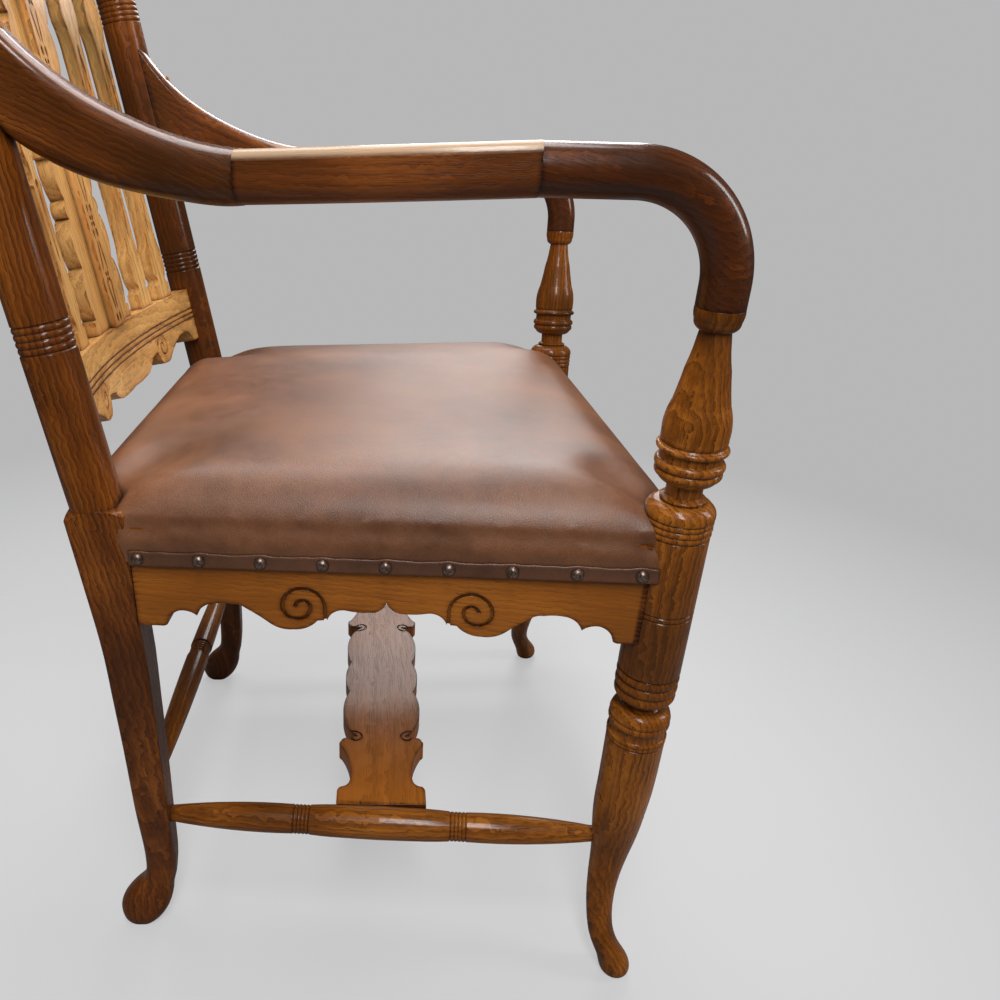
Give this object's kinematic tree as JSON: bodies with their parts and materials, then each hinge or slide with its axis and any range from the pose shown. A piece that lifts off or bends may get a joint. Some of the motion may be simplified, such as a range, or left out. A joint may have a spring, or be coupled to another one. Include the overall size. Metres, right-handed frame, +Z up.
{
  "type": "oak armchair",
  "caption": "Oak elbow chair: turned front legs, bent arms, bowed pierced back, scalloped seat rails, fretted cross stretcher and stuffed leather seat.",
  "frame": {"origin": "under the middle of the chair's box, on the floor", "axes": "+X towards the sitter's left, -Y towards the front, +Z up"},
  "size_m": [0.622, 0.601, 1.011],
  "materials": {
    "oak": "dark polished oak, satin to gloss",
    "beech": "plain unpolished hardwood",
    "leather": "dark brown leather, satin",
    "nails": "antique bronzed domed nails",
    "webbing": "jute webbing",
    "hessian": "hessian",
    "stuffing": "curled hair stuffing",
    "screws": "plain steel"
  },
  "bodies": {
    "root": {"arm_dowels": "beech", "arm_front_left": "oak", "arm_front_right": "oak", "arm_pad_left": "oak", "arm_pad_right": "oak", "arm_rear_left": "oak", "arm_rear_right": "oak", "back_slat_1": "oak", "back_slat_2": "oak", "back_slat_3": "oak", "back_slat_4": "oak", "corner_block_front_left": "beech", "corner_block_front_right": "beech", "corner_block_rear_left": "beech", "corner_block_rear_right": "beech", "corner_screws": "screws", "crest_rail": "oak", "cross_stretcher": "oak", "front_leg_left": "oak", "front_leg_right": "oak", "front_rail": "oak", "hessian": "hessian", "leather_band_front": "leather", "leather_band_left": "leather", "leather_band_rear": "leather", "leather_band_right": "leather", "lower_back_rail": "oak", "nails_front": "nails", "nails_left": "nails", "nails_rear": "nails", "nails_right": "nails", "rear_post_left": "oak", "rear_post_right": "oak", "rear_rail": "oak", "rear_stretcher": "oak", "seat_cover": "leather", "seat_stuffing": "stuffing", "side_rail_left": "oak", "side_rail_right": "oak", "side_stretcher_left": "oak", "side_stretcher_right": "oak", "splat": "oak", "webbing_crosswise": "webbing", "webbing_lengthwise": "webbing"}
  },
  "joints": []
}
